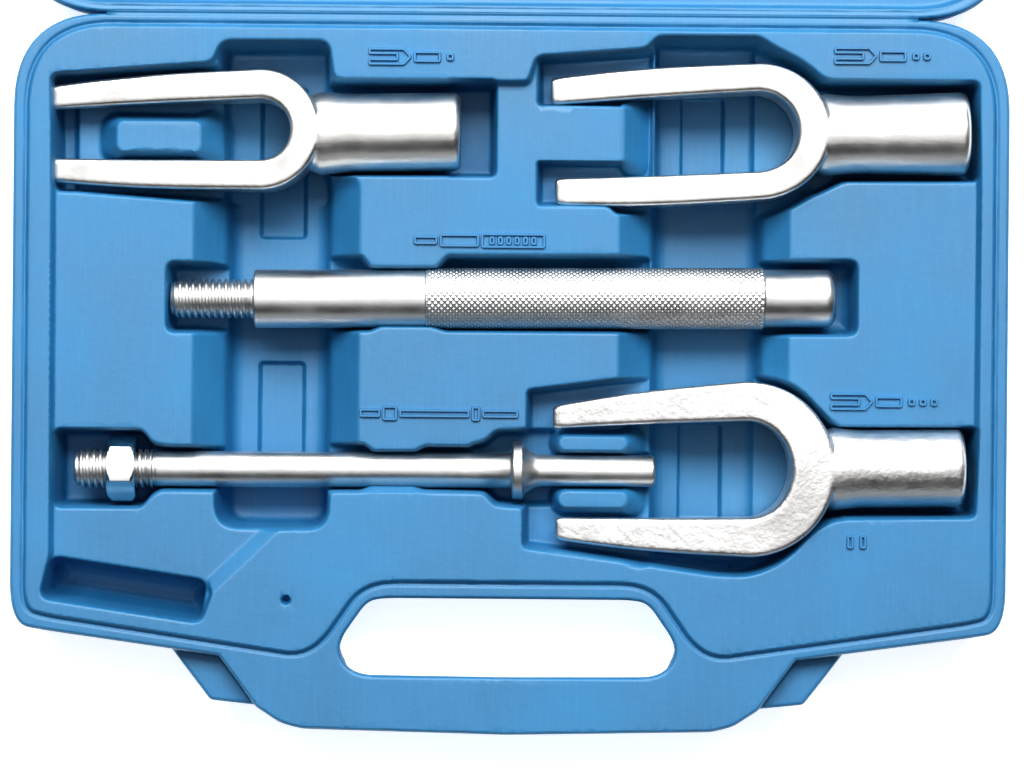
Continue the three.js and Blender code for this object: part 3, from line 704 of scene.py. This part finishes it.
def jam_nut():
    """A hexagon with both faces chamfered, and a bore with countersunk ends."""
    flat = NUT["across_flats"] / 2
    corner = flat / math.cos(math.pi / 6)
    thick, bore, sink, rim = NUT["thickness"], NUT["bore"], NUT["sink"], NUT["rim"]
    # over one face's chamfer, the flats and the other chamfer, and back through the bore
    chamfer = [(rim + t * NUT["chamfer"], flat + (corner - flat) * t) for t in np.linspace(0.1, 1, 6)]
    face = [(0, bore + sink), (0, flat * 0.94), (rim, flat * 0.99)] + chamfer
    stations = face + stretch(2.2, thick - 2.2, corner, 1.4)
    stations += [(thick - x, radius) for x, radius in reversed(face)]
    stations += [(thick - sink, bore)]
    stations += reversed(stretch(sink + 0.2, thick - sink - 0.2, bore, 0.4))
    stations += [(sink, bore)]

    def surface(x, angle, radius):
        sixth = math.pi / 3
        off = ((angle + math.pi / 2 + sixth / 2) % sixth) - sixth / 2
        hexagon = np.minimum(flat / np.cos(off), corner - NUT["blunt"])
        return np.where(radius > bore + 1.2, np.minimum(radius, hexagon), radius)

    piece = turned("jam_nut_hexagon", stations, 96, surface, ring=True)
    sharpen(piece, 25)
    piece.data.transform(Matrix.Rotation(math.radians(NUT["lean"]), 4, "X"))
    return place(piece, NUT["x"], NUT["y"], ADAPTER["z"], 0)


def rework(piece, change):
    builder = bmesh.new()
    builder.from_mesh(piece.data)
    change(builder)
    builder.to_mesh(piece.data)
    builder.free()


def sharpen(piece, degrees):
    """Flat shading across the edges that turn by more than an angle."""
    def change(builder):
        for edge in builder.edges:
            if len(edge.link_faces) == 2 and edge.calc_face_angle(0) > math.radians(degrees):
                edge.smooth = False

    rework(piece, change)


def face_outwards(piece):
    rework(piece, lambda builder: bmesh.ops.recalc_face_normals(builder, faces=builder.faces))


def join(piece, other):
    rework(piece, lambda builder: builder.from_mesh(other.data))
    bpy.data.objects.remove(other)


# ---- Forks
FORK_Z = 21.6
FORKS = [
    dict(name="fork_small", x=-81, y=77.6, turn=1.2, throat=9.85, bite=0, shoulder=19.35,
         crown=0, tip_inner=7.85, tip_outer=15.4, reach=69.6, tip=4.6, offset=0.9, bend=0,
         end=64.6, flare=0),
    dict(name="fork_medium", x=79.3, y=78.5, turn=0.9, throat=12.95, bite=0, shoulder=21.9,
         crown=1.4, tip_inner=11.8, tip_outer=20.6, reach=65.9, tip=4.6, offset=0.7,
         bend=2.0, end=68.5, flare=0.9),
    dict(name="fork_large", x=77, y=-29.8, turn=0.9, throat=15.7, bite=-1.6, shoulder=28.2,
         crown=0, tip_inner=14.4, tip_outer=21.7, reach=62.3, tip=5.2, offset=0.2, bend=0.8,
         end=70.2, flare=0),
]
SHOULDER_THICKNESS = 26.0
FORK_EDGE = 1.5  # rounding of a tine's edges
FORK_DRAFT = 0.07  # how much a tine widens towards its forging line
FORK_SWELL = 1.1  # how far the tines bow outwards between tip and shoulder
SOCKET = dict(radius=12.7, bore=6.65, depth=30.0, rim=2.4, chamfer=1.2, root=0.06,
              root_length=5.0)


def fork_blank(f):
    """The U as a ring of rounded sections: a wedge that grows from its tips to its shoulder."""
    span = f["reach"] + f["shoulder"]
    stations = []
    for t in np.linspace(0, 1, 26):
        x = -f["reach"] * (1 - t)
        bow = FORK_SWELL * math.sin(math.pi * t) * (1 - 0.35 * t)
        inner = f["tip_inner"] + (f["throat"] - f["tip_inner"]) * t + 0.3 * bow
        outer = f["tip_outer"] + (f["shoulder"] - f["tip_outer"]) * t + bow
        stations.append(((x, inner), (x, outer)))
    for a in np.linspace(math.pi / 2, 0, 18)[1:]:
        along, across = math.cos(a), math.sin(a)
        inner = ((f["throat"] + f["bite"]) * along, f["throat"] * across)
        outer = ((f["shoulder"] + f["crown"]) * along, f["shoulder"] * across)
        stations.append((inner, outer))
    stations += [tuple((x, -y) for x, y in pair) for pair in reversed(stations[:-1])]
    vertices = []
    side = 24  # points round a section
    bend = math.radians(f["bend"])

    def add_section(inner, outer, shrink, push):
        inner, outer = np.array(inner), np.array(outer)
        middle, arm = (inner + outer) / 2, (outer - inner) / 2
        half_width = np.linalg.norm(arm)
        thickness = f["tip"] + (SHOULDER_THICKNESS - f["tip"]) * (middle[0] + f["reach"]) / span
        half_height = thickness / 2
        corner = min(FORK_EDGE, half_height * 0.8, half_width * 0.7)
        for k in range(side):
            a = 2 * math.pi * (k + 0.5) / side
            across = (half_width - corner) * np.sign(math.cos(a)) + corner * math.cos(a)
            up = (half_height - corner) * np.sign(math.sin(a)) + corner * math.sin(a)
            across += FORK_DRAFT * (half_height - abs(up)) * np.sign(math.cos(a))
            u, v = middle + arm / half_width * across * shrink + np.array([push, 0])
            x = u * math.cos(bend) - v * math.sin(bend)
            y = u * math.sin(bend) + v * math.cos(bend) + f["offset"]
            vertices.append((x, y, up * shrink))

    ends = [(0.55, -0.05), (0.8, 0.1), (0.94, 0.55)]  # how much a tip's last sections shrink and shift
    sections = [(stations[0], shrink, push) for shrink, push in ends]
    sections += [(pair, 1, 0) for pair in stations[1:-1]]
    sections += [(stations[-1], shrink, push) for shrink, push in reversed(ends)]
    for pair, shrink, push in sections:
        add_section(*pair, shrink, push)
    return vertices, tube_faces(len(sections), side) + end_faces(len(sections), side)


def fork_socket(f):
    """The round socket with its bore, closed on itself, and a little wider where it grows out of the U."""
    around = 64
    radius, bore, rim = SOCKET["radius"], SOCKET["bore"], SOCKET["rim"]
    start = f["throat"] + f["bite"] + 2
    bore_end = f["end"] - SOCKET["depth"]
    profile = [(start, 0.01), (start, radius - 2.6), (f["shoulder"] - 2, radius - 0.4)]
    profile += [(f["shoulder"] + step, radius) for step in (0, 2, 4, 7, 10, 14)]
    for turn in np.linspace(0, math.pi / 2, 7):
        along, in_by = rim * (1 - math.sin(turn)), rim * (1 - math.cos(turn))
        profile.append((f["end"] - along, radius + f["flare"] - in_by))
    profile += [(f["end"], bore + SOCKET["chamfer"]), (f["end"] - SOCKET["chamfer"], bore)]
    profile += [(bore_end, bore), (bore_end - 2, 0.01)]
    vertices = []
    for x, r in profile:
        root = 1 + SOCKET["root"] * math.exp(-(((x - f["shoulder"]) / SOCKET["root_length"]) ** 2))
        for j in range(around):
            a = 2 * math.pi * j / around
            vertices.append((x, r * root * math.cos(a), r * math.sin(a)))
    return vertices, tube_faces(len(profile), around) + end_faces(len(profile), around)


def fork(f):
    vertices, faces = fork_blank(f)
    more, more_faces = fork_socket(f)
    faces = faces + [tuple(v + len(vertices) for v in face) for face in more_faces]
    piece = smooth_mesh(f["name"] + "_forged", vertices + more, faces)
    face_outwards(piece)
    remesh = piece.modifiers.new("join", "REMESH")
    remesh.mode = "VOXEL"
    remesh.voxel_size = VOXEL * MM
    remesh.use_smooth_shade = True
    soften = piece.modifiers.new("soften", "SMOOTH")
    soften.factor = 0.5
    soften.iterations = 8
    apply_modifiers(piece)
    finish_case(piece, 120000)
    return place(piece, f["x"], f["y"], FORK_Z, f["turn"])


# ---- Latches, pins and hinge
LATCH_WIDTH = 9.0
PIN_BACK = 4.2  # of the pin behind the ledge's edge
PIN_Z = 24.0
PIN_RADIUS = 1.2
BARREL_RADIUS = 2.5
EAR_RADIUS = 2.8
LATCH_OPEN = 95.0
LEDGE_EDGE = dict(x=91.8, y=-106.605, turn=6.4)


def extruded(name, section, x0, x1, bevel, segments=3):
    """A piece from a section in Y and Z, run along X, with its edges rounded."""
    n = len(section)
    vertices = [(x0, y, z) for y, z in section] + [(x1, y, z) for y, z in section]
    faces = [tuple(reversed(range(n))), tuple(range(n, 2 * n))]
    faces += [(i, (i + 1) % n, n + (i + 1) % n, n + i) for i in range(n)]
    piece = smooth_mesh(name, vertices, faces)
    face_outwards(piece)
    soft = piece.modifiers.new("edges", "BEVEL")
    soft.width = bevel * MM
    soft.segments = segments
    soft.limit_method = "ANGLE"
    soft.angle_limit = math.radians(25)
    apply_modifiers(piece)
    return piece


def to_lid(piece, side):
    """Moves a piece drawn along a latch's pin to its place on the open lid."""
    local = Matrix.Translation((side * LEDGE_EDGE["x"] * MM, LEDGE_EDGE["y"] * MM, 0))
    local = local @ Matrix.Rotation(math.radians(side * LEDGE_EDGE["turn"]), 4, "Z")
    local = local @ Matrix.Translation((0, PIN_BACK * MM, PIN_Z * MM))
    lid_place = Matrix.Translation((0, 2 * HINGE_Y * MM, 0)) @ Matrix.Rotation(math.pi, 4, "Z")
    piece.data.transform(lid_place @ local)
    return piece


def arc(radius, start, end, count):
    return [(radius * math.cos(t), radius * math.sin(t)) for t in np.linspace(start, end, count)]


def latch(name, side):
    """A barrel round the pin, an arm down to a hooked end, and three grip ribs."""
    half = LATCH_WIDTH / 2
    outer = -PIN_BACK
    section = arc(BARREL_RADIUS, -math.pi - 0.65, 0.65, 14) + [
        (1.9, 8.2), (1.2, 9.3), (outer - 0.6, 9.4), (outer - 0.6, 17.4), (outer + 2.6, 17.4),
        (outer + 1.8, 20.4), (outer - 1.2, 22.3), (outer - 2.8, 21.8), (outer - 3.4, 20.4),
        (outer - 3.3, 7.2), (outer - 2.4, 6.1), (-2.2, 6.0),
    ]
    piece = extruded(name, section, -half, half, 0.45)
    rib_section = [(outer - 3.2, 9), (outer - 3.75, 9.8), (outer - 3.75, 17.2), (outer - 3.2, 18)]
    for x in (-2.6, 0, 2.6):
        join(piece, extruded(name + "_rib", rib_section, x - 0.55, x + 0.55, 0.2, 2))
    piece.data.transform(Matrix.Rotation(math.radians(LATCH_OPEN), 4, "X"))
    return to_lid(piece, side)


def latch_ears(name, side):
    foot = 3.6
    section = arc(EAR_RADIUS, 0, math.pi, 15) + [(-EAR_RADIUS, -foot), (EAR_RADIUS, -foot)]
    ears, other = [extruded(name, section, x0, x0 + 1.5, 0.3, 2) for x0 in (-6.6, 5.1)]
    join(ears, other)
    return to_lid(ears, side)


def latch_pin(name, side):
    end = [(6.5, PIN_RADIUS), (6.7, PIN_RADIUS - 0.2), (6.7, PIN_RADIUS / 2)]
    stations = [(-x, radius) for x, radius in reversed(end)] + stretch(-6.2, 6.2, PIN_RADIUS, 2) + end
    return to_lid(turned(name, stations, 32), side)


WEB = dict(half_length=131, half_width=1.6, thickness=0.55, below=0.05, groove=0.35,
           groove_width=0.45, flat=0.9, slope=0.5)


def hinge_web():
    """The thin moulded web that joins the halves, grooved where it bends."""
    top = []
    for y in np.linspace(-WEB["half_width"], WEB["half_width"], 17):
        groove = WEB["groove"] * math.exp(-((y / WEB["groove_width"]) ** 2))
        fall = WEB["slope"] * max(abs(y) - WEB["flat"], 0)
        top.append((HINGE_Y + y, FLANGE_Z - WEB["below"] - groove - fall))
    section = [(y, z - WEB["thickness"]) for y, z in top] + list(reversed(top))
    xs = np.linspace(-WEB["half_length"], WEB["half_length"], 60)
    vertices = [(x, y, z) for x in xs for y, z in section]
    faces = tube_faces(len(xs), len(section)) + end_faces(len(xs), len(section))
    return smooth_mesh("hinge_web", vertices, faces)


# ---- Materials
def material(name):
    made = bpy.data.materials.new(name)
    made.use_nodes = True
    tree = made.node_tree
    tree.nodes.clear()
    shader = tree.nodes.new("ShaderNodeBsdfPrincipled")
    output = tree.nodes.new("ShaderNodeOutputMaterial")
    tree.links.new(shader.outputs["BSDF"], output.inputs["Surface"])
    return made, tree, shader


def settings(node, **values):
    for name, value in values.items():
        node.inputs[name.replace("_", " ")].default_value = value


def position(tree, scale=(1, 1, 1)):
    where = tree.nodes.new("ShaderNodeTexCoord")
    mapping = tree.nodes.new("ShaderNodeMapping")
    settings(mapping, Scale=scale)
    tree.links.new(where.outputs["Object"], mapping.inputs["Vector"])
    return mapping.outputs["Vector"]


def noise(tree, vector, scale, detail):
    texture = tree.nodes.new("ShaderNodeTexNoise")
    settings(texture, Scale=scale, Detail=detail, Roughness=0.55)
    tree.links.new(vector, texture.inputs["Vector"])
    return texture.outputs["Fac"]


def ramp(tree, value, stops):
    """Colours, or greys given as one number, along a value."""
    node = tree.nodes.new("ShaderNodeValToRGB")
    elements = node.color_ramp.elements
    elements.remove(elements[-1])
    elements[0].position = stops[0][0]
    for at, colour in stops:
        element = elements[0] if at == stops[0][0] else elements.new(at)
        element.color = (*colour, 1) if isinstance(colour, tuple) else (colour, colour, colour, 1)
    tree.links.new(value, node.inputs["Fac"])
    return node.outputs["Color"]


def bump(tree, height, strength, distance_m, normal=None):
    node = tree.nodes.new("ShaderNodeBump")
    settings(node, Strength=strength, Distance=distance_m)
    tree.links.new(height, node.inputs["Height"])
    if normal is not None:
        tree.links.new(normal, node.inputs["Normal"])
    return node.outputs["Normal"]


def moulded_plastic(name, colour, grain=2600.0):
    """Blow moulded polyethylene: fine sand texture, faint flow marks, and paler scuffs."""
    made, tree, shader = material(name)
    where = position(tree)
    cloudy = noise(tree, where, 26.0, 4.0)
    deep, mid, pale = (tuple(c * k for c in colour) for k in (0.90, 1.0, 1.12))
    tint = ramp(tree, cloudy, [(0.30, deep), (0.5, mid), (0.72, pale)])
    flow = noise(tree, position(tree, (320, 12, 40)), 5.0, 3.0)
    scuff = tree.nodes.new("ShaderNodeMix")
    scuff.data_type = "RGBA"
    marks = ramp(tree, flow, [(0.45, 0), (0.75, 0.16)])
    tree.links.new(marks, scuff.inputs["Factor"])
    tree.links.new(tint, scuff.inputs["A"])
    scuff.inputs["B"].default_value = (*(c * 1.35 + 0.03 for c in colour), 1)
    tree.links.new(scuff.outputs["Result"], shader.inputs["Base Color"])
    sand = noise(tree, where, grain, 2.0)
    coarse = noise(tree, where, 420.0, 2.0)
    soft = bump(tree, coarse, 0.10, 0.0004)
    tree.links.new(bump(tree, sand, 0.16, 0.0002, soft), shader.inputs["Normal"])
    gloss = ramp(tree, cloudy, [(0.3, 0.54), (0.7, 0.66)])
    tree.links.new(gloss, shader.inputs["Roughness"])
    settings(shader, Specular_IOR_Level=1.0, IOR=1.6)
    return made


def plated_steel(name, colour, rough, pitted, brushed=None):
    """Satin zinc plating: bright metal with a fine grain, and small pits where it was forged."""
    made, tree, shader = material(name)
    settings(shader, Metallic=1.0)
    where = position(tree)
    cloudy = noise(tree, where, 90.0, 4.0)
    dull, bright = (tuple(c * k for c in colour) for k in (0.93, 1.05))
    tree.links.new(ramp(tree, cloudy, [(0.3, dull), (0.7, bright)]), shader.inputs["Base Color"])
    gloss = ramp(tree, cloudy, [(0.3, rough - 0.05), (0.7, rough + 0.07)])
    tree.links.new(gloss, shader.inputs["Roughness"])
    grain = noise(tree, where, 3200.0, 2.0)
    normal = bump(tree, grain, 0.22, 0.0001)
    dents = noise(tree, where, 520.0, 3.0)
    normal = bump(tree, dents, pitted, 0.0003, normal)
    if brushed is not None:
        lines = noise(tree, position(tree, brushed), 1.0, 2.0)
        normal = bump(tree, lines, 0.03, 0.0001, normal)
    tree.links.new(normal, shader.inputs["Normal"])
    return made


CASE_BLUE = (0.012, 0.18, 0.37)
plastic = moulded_plastic("case_plastic", CASE_BLUE)
latch_plastic = moulded_plastic("latch_plastic", tuple(c * 0.85 for c in CASE_BLUE), 3600.0)
forged = plated_steel("fork_plating", (0.84, 0.83, 0.81), 0.34, 0.12)
rough_forged = plated_steel("fork_plating_coarse", (0.80, 0.79, 0.78), 0.36, 0.6)
turned_steel = plated_steel("handle_plating", (0.76, 0.76, 0.75), 0.36, 0.10, (500, 60, 60))
adapter_steel = plated_steel("adapter_plating", (0.72, 0.72, 0.71), 0.37, 0.14, (500, 60, 60))
nut_steel = plated_steel("nut_plating", (0.82, 0.82, 0.81), 0.16, 0.08)
pin_steel = plated_steel("pin_steel", (0.7, 0.7, 0.71), 0.2, 0.05)


def dress(piece, made, body, slot, *nodes):
    """Gives a piece its material, the body it rides on and the nodes it stands for. The slot is not used."""
    piece.data.materials.clear()
    piece.data.materials.append(made)
    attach(piece, body)
    if nodes:
        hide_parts(*nodes)


dress(tray, plastic, "tray", "case_plastic", "case_tray")
dress(lid, plastic, "lid", "case_plastic", "case_lid")
signs = raised_signs()
face_outwards(signs)
sharpen(signs, 35)
dress(signs, plastic, "tray", "case_plastic")
bodies = ("small_fork", "medium_fork", "large_fork")
for size, body, look in zip(FORKS, bodies, (forged, forged, rough_forged)):
    dress(fork(size), look, body, "fork_plating", size["name"])
dress(striking_handle(), turned_steel, "handle", "handle_plating", "striking_handle")
dress(air_hammer_adapter(), adapter_steel, "adapter", "adapter_plating", "air_hammer_adapter")
dress(jam_nut(), nut_steel, "nut", "nut_plating", "jam_nut")
for word, side in (("left", 1), ("right", -1)):
    dress(latch(f"latch_{word}_hook", side), latch_plastic, f"{word}_latch", "latch_plastic", f"latch_{word}")
    dress(latch_ears(f"latch_{word}_ears", side), plastic, "lid", "case_plastic")
    dress(latch_pin(f"latch_{word}_wire", side), pin_steel, "lid", "pin_steel", f"latch_pin_{word}")
web = hinge_web()
web.data.materials.append(plastic)
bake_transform(web)


# ---- Floor, light and camera
def floor():
    bpy.ops.mesh.primitive_plane_add(size=8, location=(0, 0.1, 0))
    plane = bpy.context.object
    plane.name = "floor"
    made, _, shader = material("floor")
    settings(shader, Base_Color=(0.92, 0.92, 0.92, 1), Roughness=0.8)
    settings(shader, Emission_Color=(1, 1, 1, 1), Emission_Strength=0.5)
    plane.data.materials.append(made)


def panel_light(name, place_at, aim, size_x, size_y, power):
    lamp = bpy.data.lights.new(name, "AREA")
    lamp.shape = "RECTANGLE"
    lamp.size = size_x
    lamp.size_y = size_y
    lamp.energy = power
    piece = bpy.data.objects.new(name, lamp)
    piece.location = place_at
    piece.rotation_euler = (Vector(aim) - Vector(place_at)).to_track_quat("-Z", "Y").to_euler()
    bpy.context.scene.collection.objects.link(piece)


def camera():
    """Straight above the tray, with the slight turn that the case has in its picture."""
    eye = bpy.data.cameras.new("camera")
    eye.sensor_width = 36
    height = 1.15
    width_seen = 0.3303  # across the picture, at the flange's height
    eye.lens = eye.sensor_width * (height - FLANGE_Z * MM) / width_seen
    piece = bpy.data.objects.new("camera", eye)
    piece.location = (0.0008, -0.0027, height)
    piece.rotation_euler = (0, 0, math.radians(0.5))
    bpy.context.scene.collection.objects.link(piece)
    bpy.context.scene.camera = piece


def world():
    made = bpy.data.worlds.new("studio")
    made.use_nodes = True
    settings(made.node_tree.nodes["Background"], Color=(0.9, 0.93, 1, 1), Strength=0.03)
    bpy.context.scene.world = made


floor()
world()
tools = (0, 0, 0.05)
panel_light("overhead", (-0.12, 0.25, 1.75), (-0.12, 0.25, 0), 1.7, 1.9, 7)
panel_light("key", (0, 1.35, 1.9), tools, 2.6, 1.1, 68)
panel_light("back", (0, 2.5, 0.7), tools, 3.2, 1.0, 16)
panel_light("front", (0, -2.2, 0.7), tools, 3.0, 0.8, 3)
for side in (-1, 1):
    panel_light("side", (side * 2.0, 0.5, 1.1), tools, 1.6, 2.2, 2.4)
camera()
bpy.context.scene.view_settings.view_transform = "Standard"
bpy.context.scene.view_settings.look = "High Contrast"
